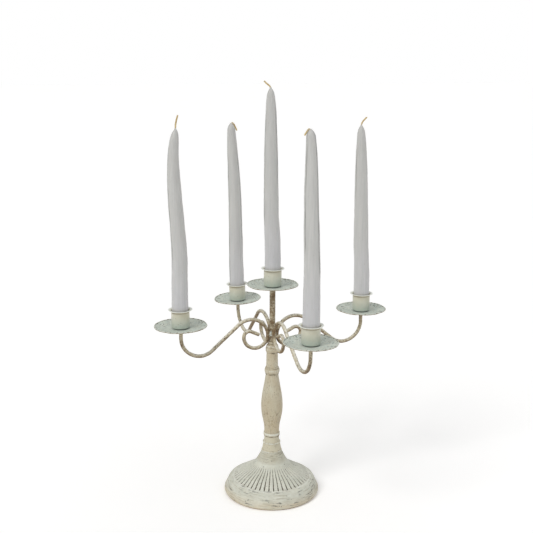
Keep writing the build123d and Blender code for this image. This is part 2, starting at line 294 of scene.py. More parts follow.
def column_paint():
    f = Finish("column_paint", {"Specular IOR Level": 0.35})
    recess_shade, highlight = f.painted("groove"), f.painted("edge")
    cloud = f.spread(f.noise(17, (1, 1, 2), seed=21), 0, 1)
    base = f.mix(cloud, colour(189, 178, 149), colour(206, 203, 183))
    base = f.mix(f.spread(f.noise(5, (0.7, 0.7, 4), detail=4, seed=22), 0, 0.7), base, colour(182, 165, 134))
    brown = f.product(f.step(f.height, 0.135, 0.1), f.spread(f.noise(8, (1, 1, 2), seed=32), 0.2, 0.7))
    base = f.mix(brown, base, colour(188, 169, 132))
    base = f.mix(f.product(f.step(f.height, 0.089, 0.085), 0.65), base, colour(212, 208, 186))
    base = f.mix(f.spread(f.noise(1.4, detail=3, seed=23), 0, 0.35), base, colour(214, 210, 195))
    streak = f.step(f.noise(1.6, (0.6, 0.6, 5), detail=3, seed=24), 0.6, 0.68)
    base = f.mix(f.product(streak, 0.5), base, colour(128, 110, 82))
    crack = f.step(f.noise(2.4, (0.45, 0.45, 3.5), detail=4, seed=31), 0.6, 0.65)
    crack = f.product(crack, f.step(f.height, 0.09, 0.1), f.step(f.height, 0.126, 0.116))
    base = f.mix(f.product(crack, 0.85), base, colour(112, 84, 52))
    speck = f.product(f.step(f.cells(2.9, seed=25), 0.2, 0.1), f.step(f.noise(9, seed=26), 0.44, 0.54))
    base = f.mix(f.product(speck, 0.85), base, colour(92, 76, 56))
    # Painted highlight: the crests of the beads and lips are lightened to near white.
    crest_glint = f.product(highlight, f.spread(f.noise(2.6, seed=27), 0.2, 1.2))
    base = f.mix(f.step(crest_glint, 0.15, 0.75), base, colour(224, 225, 214))
    # Painted shade: dark lines in the hollows and joins between the turned parts.
    line = f.product(recess_shade, f.spread(f.noise(2.6, (1.6, 1.6, 0.6), detail=3, seed=28), 0.1, 1.4))
    base = f.mix(f.step(line, 0.25, 0.8), base, colour(100, 86, 66))
    rough = f.spread(f.noise(3, seed=29), 0.42, 0.7)
    lost = f.math("MAXIMUM", speck, crack)
    return f.done(base, rough, [(f.noise(1.1, detail=4, seed=30), 0.18), (lost, -0.15)])


def arm_paint():
    f = Finish("arm_paint", {"Specular IOR Level": 0.5})
    # The top value browns the underside of the rods and the parts near the stem, partly worn paint and
    # partly painted shade, and gives their upper side a painted highlight.
    top = f.painted("top")
    shown = f.math("ADD", top, f.spread(f.noise(3.5, detail=4, seed=41), -0.35, 0.35))
    base = f.mix(f.step(shown, -0.55, 0.42), colour(108, 83, 51), colour(209, 201, 176))
    base = f.mix(f.product(f.step(shown, 0.3, 0.85), 0.95), base, colour(236, 234, 221))
    base = f.mix(f.spread(f.noise(1.6, detail=4, seed=42), 0, 0.35), base, colour(168, 150, 112))
    flake = f.step(f.noise(1.8, detail=4, seed=43), 0.56, 0.62)
    patch = f.step(f.noise(11, detail=1, seed=44), 0.38, 0.52)
    base = f.mix(f.product(flake, patch, 0.85), base, colour(78, 60, 42))
    solder = f.product(f.painted("solder"), f.spread(f.noise(3, seed=47), 0.2, 1.0))
    base = f.mix(solder, base, colour(206, 214, 210))
    rough = f.spread(f.noise(2, seed=45), 0.38, 0.65)
    return f.done(base, rough, [(f.noise(1.4, detail=4, seed=46), 0.4), (flake, -0.15)])


def pan_paint():
    f = Finish("pan_paint", {"Specular IOR Level": 0.4})
    edge, near_rim = f.painted("edge"), f.painted("outer")
    base = f.mix(f.spread(f.noise(12, seed=61), 0, 1), colour(196, 206, 199), colour(221, 227, 219))
    base = f.mix(f.spread(f.noise(2.2, detail=4, seed=62), 0, 0.75), base, colour(176, 191, 184))
    base = f.mix(f.spread(f.noise(4.5, detail=4, seed=63), -0.1, 0.45), base, colour(214, 209, 190))
    pale = f.step(f.noise(2.0, detail=3, seed=71), 0.56, 0.64)
    base = f.mix(f.product(pale, 0.6), base, colour(226, 230, 222))
    fleck = f.step(f.noise(2.1, detail=3, seed=64), 0.555, 0.605)
    patch = f.step(f.noise(10, detail=1, seed=65), 0.4, 0.54)
    base = f.mix(f.product(fleck, patch, near_rim, 0.85), base, colour(84, 86, 80))
    base = f.mix(f.product(edge, f.spread(f.noise(3, seed=66), 0.3, 1.0)), base, colour(224, 228, 218))
    chip = f.product(f.step(f.noise(3.0, detail=2, seed=67), 0.54, 0.6), edge)
    base = f.mix(f.product(chip, 0.85), base, colour(112, 98, 78))
    # Painted shade: the underside and the lower part of the rolled rim are browned.
    base = f.mix(f.product(f.painted("under"), 0.85), base, colour(138, 124, 98))
    rough = f.spread(f.noise(3, seed=68), 0.42, 0.7)
    return f.done(base, rough, [(f.noise(1.5, detail=4, seed=69), 0.2), (f.noise(6, seed=70), 0.3)])


def cup_paint():
    f = Finish("cup_paint", {"Specular IOR Level": 0.45})
    low, edge = f.painted("low"), f.painted("edge")
    base = f.mix(f.spread(f.noise(14, seed=81), 0, 1), colour(206, 202, 180), colour(218, 216, 200))
    base = f.mix(f.product(low, f.spread(f.noise(6, seed=82), 0.6, 1.0), 0.95), base, colour(176, 194, 186))
    base = f.mix(f.product(edge, f.spread(f.noise(3, seed=83), 0.75, 1.0)), base, colour(244, 248, 242))
    patch = f.step(f.noise(7, seed=85), 0.52, 0.62)
    nick = f.product(f.step(f.noise(1.8, detail=3, seed=84), 0.64, 0.69), patch)
    base = f.mix(f.product(nick, 0.7), base, colour(126, 112, 88))
    base = f.mix(f.product(f.painted("shade"), 0.75), base, colour(148, 130, 98))
    # Painted shade: a dark line round the foot of the cup, where it sits on the pan.
    base = f.mix(f.product(f.painted("groove"), 0.9), base, colour(58, 66, 66))
    rough = f.spread(f.noise(3, seed=86), 0.34, 0.5)
    return f.done(base, rough, [(f.noise(2.2, detail=3, seed=87), 0.08)])


def zinc_steel():
    f = Finish("zinc_steel", {"Metallic": 1.0})
    base = f.mix(f.spread(f.noise(2.5, seed=91), 0, 1), colour(160, 160, 156), colour(190, 190, 188))
    base = f.mix(f.step(f.noise(1.5, detail=4, seed=92), 0.6, 0.72), base, colour(130, 112, 88))
    rough = f.spread(f.noise(1.2, seed=93), 0.3, 0.55)
    return f.done(base, rough, [(f.noise(0.7, (1, 1, 0.3), seed=94), 0.04)])


def candle_wax():
    f = Finish("candle_wax", {
        "Subsurface Weight": 0.25, "Subsurface Radius": (1.0, 0.92, 0.85), "Subsurface Scale": 0.002,
        "Specular IOR Level": 0.4, "Coat Weight": 0.05, "Coat Roughness": 0.35,
    })
    along, fold = f.painted("along"), f.painted("fold")
    base = f.mix(f.step(along, 0.12, 0.5), colour(201, 200, 203), colour(199, 198, 195))
    base = f.mix(f.spread(f.noise(34, (0.6, 0.6, 1.6), seed=101), 0, 0.5), base, colour(209, 209, 206))
    streak = f.spread(f.noise(5, (0.4, 0.4, 8), detail=3, seed=102), 0, 0.5)
    base = f.mix(streak, base, colour(181, 183, 181))
    shadow = f.product(fold, f.spread(f.noise(8, (1, 1, 3), seed=106), 0.3, 0.75))
    base = f.mix(shadow, base, colour(104, 106, 102))
    scuff = f.step(f.noise(2.6, (0.6, 0.6, 2.5), detail=4, seed=103), 0.64, 0.74)
    base = f.mix(f.product(scuff, 0.5), base, colour(176, 174, 168))
    rough = f.spread(f.noise(9, (1, 1, 2), seed=104), 0.4, 0.58)
    return f.done(base, rough, [(f.noise(5, (1, 1, 3), detail=3, seed=105), 0.12), (scuff, -0.05)])


def wick_cotton():
    f = Finish("wick_cotton", {"Specular IOR Level": 0.2, "Sheen Weight": 0.3, "Sheen Roughness": 0.5})
    cloud = f.spread(f.noise(2.5, detail=3, seed=121), 0, 1)
    base = f.mix(cloud, colour(190, 161, 104), colour(220, 199, 146))
    base = f.mix(f.product(f.painted("waxed"), 0.7), base, colour(222, 216, 200))
    fibre = f.noise(0.35, (1, 1, 3), detail=2, seed=122)
    base = f.mix(f.step(fibre, 0.5, 0.7), base, colour(160, 130, 82))
    return f.done(base, f.spread(f.noise(1, seed=123), 0.7, 0.9), [(fibre, 0.08)])


# ---- curves and meshes ----
def smooth_curve(points, count):
    """count places along a natural cubic curve through the points."""
    points = np.array(points, float)
    along = np.concatenate([[0], np.cumsum(np.linalg.norm(np.diff(points, axis=0), axis=1))])
    step, last = np.diff(along), len(points) - 1
    system, pull = np.eye(last + 1), np.zeros_like(points)
    for i in range(1, last):
        system[i, i - 1:i + 2] = step[i - 1], 2 * (step[i - 1] + step[i]), step[i]
        pull[i] = 6 * ((points[i + 1] - points[i]) / step[i] - (points[i] - points[i - 1]) / step[i - 1])
    bend = np.linalg.solve(system, pull)
    at = np.linspace(0, along[-1], count)
    i = np.clip(np.searchsorted(along, at, side="right") - 1, 0, last - 1)
    after = ((at - along[i]) / step[i])[:, None]
    before, span = 1 - after, step[i][:, None] ** 2 / 6
    curve = before * points[i] + after * points[i + 1]
    return curve + ((before ** 3 - before) * bend[i] + (after ** 3 - after) * bend[i + 1]) * span


def respaced(curve, spacing):
    """The same curve with places this far apart, or at these distances along it."""
    along = np.concatenate([[0], np.cumsum(np.linalg.norm(np.diff(curve, axis=0), axis=1))])
    if np.ndim(spacing) == 0:
        spacing = np.linspace(0, along[-1], max(2, round(along[-1] / spacing) + 1))
    return np.stack([np.interp(spacing, along, curve[:, k]) for k in range(curve.shape[1])], axis=1)


def lumps(places, size, seed):
    """Smooth unevenness from about -1 to 1, with bumps about size mm apart."""
    draw = np.random.default_rng(seed)
    waves = 22
    ways = draw.normal(size=(waves, 3))
    ways *= (FULL_TURN / size * draw.uniform(0.6, 1.4, waves) / np.linalg.norm(ways, axis=1))[:, None]
    return np.sin(places @ ways.T + draw.uniform(0, FULL_TURN, waves)).sum(-1) / math.sqrt(waves)


def hump(distance, width):
    """1 at no distance, falling away smoothly over about this width."""
    return np.exp(-(distance / width) ** 2)


def away_from(azimuth, angle, full_turn=FULL_TURN):
    """How far an angle is from an azimuth, the shorter way round."""
    return (angle - azimuth + full_turn / 2) % full_turn - full_turn / 2


def grid_faces(rows, columns, rows_close=False):
    """Quads over a grid whose columns go all the way round."""
    row = np.arange(rows if rows_close else rows - 1)[:, None]
    column = np.arange(columns)[None, :]
    above, beside = (row + 1) % rows, (column + 1) % columns
    corners = [(row, column), (row, beside), (above, beside), (above, column)]
    return np.stack([up * columns + over for up, over in corners], axis=-1).reshape(-1, 4).tolist()


def bar_faces(rows, columns):
    """Quads over a grid whose columns go all the way round, and a face across each end."""
    last = (rows - 1) * columns
    return grid_faces(rows, columns) + [list(range(columns))[::-1], list(range(last, last + columns))]


def outward(line):
    """Unit normals of an outline that runs anticlockwise in (radius, height)."""
    along = np.roll(line, -1, axis=0) - np.roll(line, 1, axis=0)
    along /= np.maximum(np.linalg.norm(along, axis=1), 1e-9)[:, None]
    return np.stack([along[:, 1], -along[:, 0]], axis=1)


def around(line, columns, push=None):
    """Places round the Z axis for an outline of (radius, height), pushed out along its normals."""
    angles = np.arange(columns) * FULL_TURN / columns
    radius = np.repeat(line[:, :1], columns, axis=1)
    height = np.repeat(line[:, 1:], columns, axis=1)
    if push is not None:
        normals = outward(line)
        radius, height = radius + push * normals[:, :1], height + push * normals[:, 1:]
    return np.stack([radius * np.cos(angles), radius * np.sin(angles), height], axis=-1)


def make_piece(name, places, faces, material, body, nodes, values, crease):
    """A mesh in mm, carrying the values, becomes a piece that rides on body for the CAD nodes."""
    mesh = bpy.data.meshes.new(name)
    mesh.from_pydata((np.asarray(places).reshape(-1, 3) * MM).tolist(), [], faces)
    shape = bmesh.new()
    shape.from_mesh(mesh)
    bmesh.ops.recalc_face_normals(shape, faces=shape.faces)
    shape.to_mesh(mesh)
    shape.free()
    mesh.shade_smooth()
    mesh.set_sharp_from_angle(angle=math.radians(crease))
    for key, numbers in values.items():
        mesh.attributes.new(key, "FLOAT", "POINT").data.foreach_set(
            "value", np.ascontiguousarray(numbers, np.float32).ravel())
    mesh.materials.append(material)
    piece = bpy.data.objects.new(name, mesh)
    bpy.context.scene.collection.objects.link(piece)
    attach(piece, body)
    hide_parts(*nodes)


def ways_along(line):
    """Unit directions along a line of places."""
    along = np.gradient(line, axis=0)
    return along / np.linalg.norm(along, axis=1)[:, None]


def tube(line, radii, sides):
    """A closed round bar along a line of places: its places, its faces and the ways out from
    the line. radii is one number, one for each place, or a row for each place."""
    along, across = ways_along(line), []
    slantwise = (0.31, 0.52, 0.79)
    side = np.cross(along[0], slantwise)
    for way in along:
        side = side - way * (side @ way)
        side /= np.linalg.norm(side)
        across.append(side)
    across = np.array(across)
    third = np.cross(along, across)
    angles = np.arange(sides) * FULL_TURN / sides
    if np.ndim(radii) < 2:
        radii = np.reshape(radii, (-1, 1))
    radii = np.broadcast_to(radii, (len(line), sides))[..., None]
    ring = across[:, None] * np.cos(angles)[None, :, None] + third[:, None] * np.sin(angles)[None, :, None]
    places = (line[:, None] + ring * radii).reshape(-1, 3)
    return places, bar_faces(len(line), sides), ring


def placed(places, matrix):
    """The places, as one list, moved and turned by a matrix."""
    turn = np.array(matrix)
    return places.reshape(-1, 3) @ turn[:3, :3].T + turn[:3, 3]


def turning(degrees, axis):
    return Matrix.Rotation(math.radians(degrees), 4, axis)


def arm_place(name):
    """Turns an arm's upright plane to its azimuth, after any sideways lean about the weld."""
    azimuth, sideways = ARMS[name][0], ARMS[name][5]
    lift = Matrix.Translation((0, 0, WELD_HEIGHT))
    return turning(azimuth, "Z") @ lift @ turning(sideways, "X") @ lift.inverted()


def holder_place(name):
    """Carries a pan and its cup to the end of their rod."""
    if name == "centre":
        return Matrix.Translation((0, 0, CENTRE_RIM - PAN_HEIGHT))
    reach, rim, lean = ARMS[name][1], ARMS[name][2], ARMS[name][4]
    return arm_place(name) @ Matrix.Translation((reach, 0, rim - PAN_HEIGHT)) @ turning(lean, "Y")


# ---- foot ----
FLUTES = 50
# the radii where flutes start and end, how far out they go on widening, and half their width
FLUTE_TOP, FLUTE_END, FLUTE_GROWTH, FLUTE_HALF_WIDTH = 21.5, 52.0, 27, 1.0


def foot_outline():
    """The bell's outside, going up, and its whole outline. Rows are closest where flutes end."""
    outside = smooth_curve([
        (63, 0), (65.5, 3), (62.5, 11.8), (58.7, 19), (52, 22), (43, 28.2), (29, 36.8), (19.05, 48.7),
        (13.9, 59.5),
    ], 3000)
    inside = smooth_curve([
        (33, 31), (41.3, 25.7), (50.4, 19.2), (56.4, 16.4), (59.6, 10.8), (62.5, 3), (60, 0),
    ], 400)
    length = np.linalg.norm(np.diff(outside, axis=0), axis=1).sum()
    flute_start = np.interp(-FLUTE_END - 0.3, -outside[:, 0], np.linspace(0, length, len(outside)))
    outside = respaced(outside, np.concatenate([
        np.arange(0, flute_start - 0.2, 0.95), np.arange(flute_start, flute_start + 4.4, 0.3),
        np.arange(flute_start + 5.0, length - 0.3, 0.9), [length],
    ]))
    bore = [(BORE, 59.5), (BORE, 45.0), (BORE, 31.0)]
    return outside, np.concatenate([outside, bore, respaced(inside, 2.2)])


def across_flute(half_width, pitch):
    """Where the columns of one flute are, as parts of the pitch: most of them in its groove."""
    shoulder = np.clip(np.maximum(half_width, 0.35) / pitch, 0.02, 0.3)
    beside, middle = shoulder + (0.5 - shoulder) * 0.3, np.full_like(shoulder, 0.5)
    half = np.concatenate([shoulder * (0, 0.35, 0.65, 0.85, 1.0), beside, middle], axis=1)
    return np.concatenate([-half[:, 5:0:-1], half], axis=1)


def make_foot(material):
    """The fluted bell. Each row of the outline has its own angles, so that columns follow flutes."""
    outside, outline = foot_outline()
    radius, height = outline[:, :1], outline[:, 1:]
    row = np.arange(len(outline))[:, None]
    fluted, shown = row < len(outside), row < len(outside) - 1
    fade = np.clip((radius - FLUTE_TOP) / FLUTE_GROWTH, 0, 1)
    into_end = radius - FLUTE_END + FLUTE_HALF_WIDTH
    rounded = np.sqrt(np.clip(FLUTE_HALF_WIDTH ** 2 - into_end ** 2, 0, None))
    half_width = np.where(radius > FLUTE_END - FLUTE_HALF_WIDTH, rounded, FLUTE_HALF_WIDTH)
    half_width = half_width * (0.5 + 0.5 * fade)
    pitch = FULL_TURN * np.maximum(radius, 14) / FLUTES
    offsets = across_flute(half_width, pitch)
    turns = np.arange(FLUTES)[:, None, None] + offsets[None]
    angles = np.transpose(turns, (1, 0, 2)).reshape(len(outline), -1) * FULL_TURN / FLUTES
    level = np.broadcast_to(height, angles.shape)
    shell = np.stack([radius * np.cos(angles), radius * np.sin(angles), level], -1)

    across = np.abs(offsets) * pitch / np.maximum(half_width, 1e-3)
    in_flute = fluted & (radius < FLUTE_END) & (radius > FLUTE_TOP)
    groove = np.tile(np.where(in_flute, np.clip(1 - across ** 2, 0, 1) ** 0.7, 0), (1, FLUTES))
    depth = np.clip((radius - FLUTE_TOP) / 5, 0, 1) * (0.5 + 0.75 * fade)
    push = -groove * depth - np.where(shown, 0.05 + 0.05 * lumps(shell, 7, 3), 0)
    push = push - np.where(shown & (radius > 53), 0.05 + 0.05 * lumps(shell * (0.25, 0.25, 1.6), 5, 4), 0)
    push = np.where(height < 0.4, 0, push)
    normals = outward(outline)
    shell[..., 0] += push * normals[:, :1] * np.cos(angles)
    shell[..., 1] += push * normals[:, :1] * np.sin(angles)
    shell[..., 2] += push * normals[:, 1:]

    # How strongly painted shade darkens each groove, deepest in the pit at its outer end.
    shade_strength = np.clip((radius - 21) / 5, 0, 1) * (0.62 + 0.25 * fade + 0.4 * hump(radius - 50.2, 1.8))
    # The edge value places painted highlights: on the ridges beside the flutes, on the ring where they end
    # and on the top lip.
    beside_flute = np.clip(1 - np.abs(across - 1.35) / 0.75, 0, 1) * fluted
    beside_flute = beside_flute * (radius < FLUTE_END - 0.8) * (radius > 24)
    rings = hump(radius - 53.4, 1.6) * fluted * 0.8 + hump(height - 58.7, 0.8) * fluted
    edge = np.clip(np.tile(beside_flute, (1, FLUTES)) * (0.35 + 0.65 * fade) + rings, 0, 1)
    make_piece("foot_bell", shell, grid_faces(*angles.shape, True), material,
               "stand", ["base_foot"], {"groove": groove * shade_strength, "edge": edge}, 50)


# ---- column ----
def marks_on(line, marks):
    """How strongly each row is marked, by a list of (height, half width, strength)."""
    total = np.zeros(len(line))
    for height, half_width, strength in marks:
        total = total + strength * hump(line[:, 1] - height, half_width)
    return np.clip(total, 0, 1)


def make_turned(name, segments, material, highlight, shade_marks, unevenness=0.05, bore=BORE, columns=120):
    """A turned piece from the curves of its outside, low to high, closed by its bore. Its first
    list of marks gives rows of painted highlight, its second rows of painted shade."""
    parts = [respaced(smooth_curve(points, 200), 0.45) for points in segments]
    outside = np.concatenate([parts[0]] + [part[1:] for part in parts[1:]])
    low, high = outside[0, 1], outside[-1, 1]
    outline = np.concatenate([outside, [(bore, high)], [(bore, low)]])
    shown = np.arange(len(outline)) < len(outside)
    true, seed = around(outline, columns), len(name)
    uneven = unevenness * (1 + lumps(true, 9, seed) * 0.6 + lumps(true, 2.6, seed + 1) * 0.3)
    places = around(outline, columns, -np.where(shown[:, None], uneven, 0))
    # groove carries the painted shade and edge the painted highlight, row by row.
    values = {
        "groove": np.repeat((marks_on(outline, shade_marks) * shown)[:, None], columns, axis=1),
        "edge": np.repeat((marks_on(outline, highlight) * shown)[:, None], columns, axis=1),
    }
    make_piece(name + "_turned", places, grid_faces(len(outline), columns, True), material,
               "stand", [name], values, 40)


def make_column(material):
    """The turned stack between the foot and the scrolls, low to high, and the ring above it."""
    # Each part lists its rows of painted highlight, then its rows of painted shade.
    make_turned("base_collar", [
        [(13.3, 59.5), (13.85, 59.85), (14.1, 60.4), (13.85, 60.95), (13.3, 61.3)],
        [(13.3, 61.3), (12.35, 66.3), (11.6, 71.2)],
        [(11.6, 71.2), (12.15, 71.55), (12.4, 72.1), (12.15, 72.65), (11.6, 73.0)],
    ], material,
        highlight=[(60.4, 0.7, 1.0), (72.3, 0.9, 1.0)],
        shade_marks=[(61.9, 0.5, 0.6), (64.0, 0.6, 0.3), (70.6, 0.5, 0.5)])
    make_turned("lower_bead", [
        [(10.8, 73), (10.3, 77.5), (10.6, 81.4)],
        [(10.6, 81.4), (11.3, 82.5), (11.5, 84.2), (11.2, 86.0), (10.4, 87)],
    ], material,
        highlight=[(85.2, 1.3, 1.0), (73.5, 0.6, 0.5)],
        shade_marks=[(82.1, 1.0, 1.0), (86.9, 0.35, 0.5), (79.5, 0.5, 0.25)])
    make_turned("baluster", [
        [(10.2, 87), (10.8, 97), (13.5, 110.5), (14.85, 126), (13.6, 141), (11, 156), (8.6, 171)],
    ], material, highlight=[(88.0, 0.7, 0.35)], shade_marks=[(170.3, 0.9, 0.5), (87.3, 0.5, 0.3)])
    make_turned("upper_bead", [
        [(8.9, 171), (9.35, 171.4), (9.4, 171.9), (8.9, 172.4)],
        [(8.9, 172.4), (9.9, 173.6), (10.3, 176), (9.9, 178.4), (8.9, 179.6)],
        [(8.9, 179.6), (9.2, 180.2), (8.6, 181)],
    ], material,
        highlight=[(176.8, 1.4, 0.5), (180.2, 0.5, 0.3)],
        shade_marks=[(173.2, 0.9, 0.75), (171.4, 0.7, 0.75), (179.4, 0.4, 0.6)])
    make_turned("neck_sleeve", [
        [(8.1, 181), (7.9, 192), (7.7, 202)],
    ], material, highlight=[], shade_marks=[(181.5, 0.6, 0.5), (184.5, 1.2, 0.3), (201.2, 0.9, 0.7)], bore=5.5)
    make_turned("top_cap", [
        [(7.9, 202), (8.75, 203.2), (8.95, 205.5), (8.7, 208.0), (8.3, 209.4)],
        [(8.3, 209.4), (8.0, 211.0), (7.0, 212.6), (5.4, 214)],
    ], material,
        highlight=[(206.5, 1.6, 0.45), (211.0, 1.2, 0.8)],
        shade_marks=[(202.4, 0.8, 0.9), (209.2, 0.4, 0.8), (213.6, 0.6, 0.6)])
    make_turned("stem_ring", [
        [(5.0, 214), (5.4, 215.5), (4.9, 217)],
    ], material, highlight=[(215.5, 0.6, 0.6)], shade_marks=[(214.1, 0.4, 0.9)],
        unevenness=0.03, bore=STEM_RADIUS, columns=64)


# ---- stem, arms and welds ----
ARM_STEP = 0.5


def make_stem(material):
    """The long rod, which shows its faint ridges above the column."""
    low, column_top, top = 20, 212, CENTRE_RIM - PAN_HEIGHT
    heights = np.concatenate([np.arange(low, column_top, 8.0), np.arange(column_top, top, 0.5), [top]])
    line = np.stack([np.zeros_like(heights), np.zeros_like(heights), heights], axis=1)
    places, faces, _ = tube(line, STEM_RADIUS, 40)
    bare = places[:, 2:] > column_top + 1
    uneven = 0.06 + 0.05 * lumps(places, 4, 11) + 0.04 * lumps(places, 1.7, 12)
    scale = 1 - np.clip(uneven, 0, 0.25)[:, None] / STEM_RADIUS * bare
    ridge_spacing = 2.1
    ridges = np.sin(places[:, 2] / ridge_spacing * FULL_TURN + 0.8 * lumps(places, 6, 14))
    scale -= 0.012 * (1 + ridges)[:, None] * bare
    places = places * np.concatenate([scale, scale, np.ones_like(scale)], axis=1)
    values = {"top": 0.16 * lumps(places, 9, 13) + 0.12 * ridges - 0.2}
    make_piece("stem_bar", places, faces, material, "stand", ["stem_rod"], values, 50)


def arc(x, y, radius, start, sweep):
    """Places round part of a circle, from start degrees on by sweep."""
    angles = np.radians(np.linspace(start, start + sweep, 120))
    return np.stack([x + radius * np.cos(angles), y + radius * np.sin(angles)], axis=1)


def arm_line(name):
    """The arm's centreline in its own upright plane: from the pan to the scroll's tail."""
    _, reach, rim, bend_low, lean_out, _ = ARMS[name]
    lean, bend, arch, scroll = math.radians(lean_out), BEND_RADIUS, ARCH_RADIUS, SCROLL_RADIUS
    scroll_x, scroll_y, arch_y = STEM_RADIUS + WELD_GAP + ROD_RADIUS + scroll, WELD_HEIGHT, ARCH_TOP - arch
    arch_x = scroll_x + math.sqrt((arch - scroll) ** 2 - (arch_y - scroll_y) ** 2)
    join = math.degrees(math.atan2(scroll_y - arch_y, scroll_x - arch_x))
    bend_y = bend_low + bend
    straight = (rim - PAN_HEIGHT - bend_y + bend * math.sin(lean)) / math.cos(lean)
    bend_x = reach - straight * math.sin(lean) - bend * math.cos(lean)
    across, up = bend_x - arch_x, bend_y - arch_y
    slope = math.degrees(math.asin((bend + arch) / math.hypot(across, up)) - math.atan2(up, across))
    curl = arc(scroll_x + scroll - CURL_RADIUS, scroll_y, CURL_RADIUS, 0, 116)
    along = curl[-1] - curl[-2]
    line = respaced(np.concatenate([
        [(reach, rim - PAN_HEIGHT)],
        arc(bend_x, bend_y, bend, -lean_out, lean_out - 90 - slope),
        arc(arch_x, arch_y, arch, 90 - slope, join - 90 + slope),
        arc(scroll_x, scroll_y, scroll, join, 360 - join)[1:],
        curl[1:],
        [curl[-1] + along / np.linalg.norm(along) * TAIL_LENGTH],
    ]), ARM_STEP)
    return np.stack([line[:, 0], np.zeros(len(line)), line[:, 1]], axis=1)


def make_arm(name, seed, material):
    """One bent rod, not quite true, with hammer marks and a rounded tail."""
    line, sides = arm_line(name), 24
    count = len(line)
    along = np.linspace(0, 1, count)[:, None]
    sway = np.stack([lumps(line, 55, seed + k) for k in range(3)], axis=1) * (0.22, 0.35, 0.22)
    line = line + sway * np.sin(math.pi * np.clip(along * 1.02, 0, 1)) ** 0.6
    beaten = 0.5 + 0.5 * lumps(line, 34, seed + 5)
    round_bar = tube(line, ROD_RADIUS, sides)[0].reshape(count, sides, 3)
    radii = ROD_RADIUS - 0.05 + 0.07 * lumps(round_bar, 7, seed + 6)
    radii = radii - np.clip(beaten, 0, 1)[:, None] * 0.11 * np.clip(lumps(round_bar, 2.3, seed + 7), 0, 2)
    from_tail = (count - 1 - np.arange(count)) * ARM_STEP
    radii = radii - 0.35 * np.clip(1 - from_tail / 0.8, 0, 1)[:, None] ** 2
    places, faces, ring = tube(line, radii, sides)
    places = placed(places, arm_place(name))
    # The top value is lighter on the upper side and darker below and near the stem: painted light and shade
    # over the rod's brown worn underside.
    upward = (ring.reshape(-1, 3) @ np.array(arm_place(name))[:3, :3].T)[:, 2]
    from_stem = np.hypot(places[:, 0], places[:, 1])
    make_piece(f"arm_{name}_bar", places, faces, material, "stand", [f"arm_{name}"],
               {"top": upward - 0.5 * hump(from_stem - 5, 5)}, 50)


def make_welds(material):
    """The brazing round the stem: thick beside each arm, and run together between them, with
    one large blob at its own azimuth."""
    rows, columns, blob_azimuth = 20, 96, -137
    angle = np.arange(columns) * FULL_TURN / columns
    beside = np.zeros(columns)
    for azimuth, *_ in ARMS.values():
        beside += hump(away_from(azimuth, np.degrees(angle), 360), 24)
    blob = hump(away_from(blob_azimuth, np.degrees(angle), 360), 17)
    half_height = 2.2 + 2.4 * beside + 0.6 * blob
    half_depth = 0.8 + 1.2 * beside + 1.5 * blob
    section = np.arange(rows)[:, None] * FULL_TURN / rows
    radius = STEM_RADIUS + 0.1 + half_depth[None] * np.cos(section)
    height = WELD_HEIGHT + 2.0 * blob[None] + half_height[None] * np.sin(section)
    places = np.stack([radius * np.cos(angle), radius * np.sin(angle), height], axis=-1)
    swell = 0.25 * lumps(places, 3.2, 31) + 0.12 * lumps(places, 1.5, 32)
    places[..., :2] *= (1 + swell / radius)[..., None]
    places[..., 2] += 0.5 * lumps(places, 5, 33)
    values = {
        "top": np.full(places.shape[:2], 0.2),
        "solder": np.repeat(np.clip(0.35 + blob, 0, 1)[None], rows, axis=0),
    }
    make_piece("weld_beads", places, grid_faces(rows, columns, True), material,
               "stand", ["arm_welds"], values, 60)


# ---- pans and cups ----
SCREW_HOLE = 1.6
# unevenness drawn at places times LEVEL is the same at every height
LEVEL = (1, 1, 0)


def make_pan(name, seed, material):
    """A dished sheet with a rolled rim. Its outline runs out below and back in above."""
    rim_radius, rise, thick, roll = 33.8, 3.1, PAN_THICKNESS, 0.7
    flat, columns = 13.0, 200
    bow = np.linspace(0, 1, 26)[:, None]
    slope = np.concatenate([flat + (rim_radius - 0.5 - flat) * bow, rise * bow ** 2], axis=1)
    turn = np.radians(np.linspace(-100, 215, 15))
    bead = np.stack([rim_radius + roll * np.cos(turn), rise + thick + roll * np.sin(turn)], axis=1)
    flat_top = respaced(np.array([(flat, thick), (SCREW_HOLE, thick)]), 1.2)
    flat_under = respaced(np.array([(SCREW_HOLE, 0.0), (flat, 0.0)]), 2.0)
    top = np.concatenate([slope[::-1][1:] + (0, thick), flat_top[1:]])
    under = np.concatenate([flat_under[:-1], slope[:-1]])
    outline = np.concatenate([under, bead, top])
    places = around(outline, columns)
    far = np.clip((outline[:, :1] - 14) / 19, 0, 1)
    warp = 0.22 * lumps(places * LEVEL, 34, seed) + 0.07 * lumps(places * LEVEL, 7, seed + 1)
    places[..., 2] += warp * far
    inward = far * (0.12 + 0.1 * lumps(places * LEVEL, 13, seed + 2))
    places[..., :2] *= 1 - np.clip(inward, 0, 0.4)[..., None] / 34
    wide, radius, row = np.ones((1, columns)), outline[:, :1], np.arange(len(outline))[:, None]
    on_bead = (row >= len(under)) & (row < len(under) + len(bead))
    values = {
        "edge": wide * np.where(on_bead, 1.0, np.clip((radius - 31.8) / 3, 0, 0.35)),
        "outer": wide * np.clip((radius - 15) / 12, 0.12, 1.0),
        # under marks the underside and the lower rim for painted shade.
        "under": wide * (row < len(under) + 6),
    }
    make_piece(f"pan_{name}", placed(places, holder_place(name)), grid_faces(len(outline), columns, True),
               material, "stand", [f"drip_pan_{name}"], values, 50)


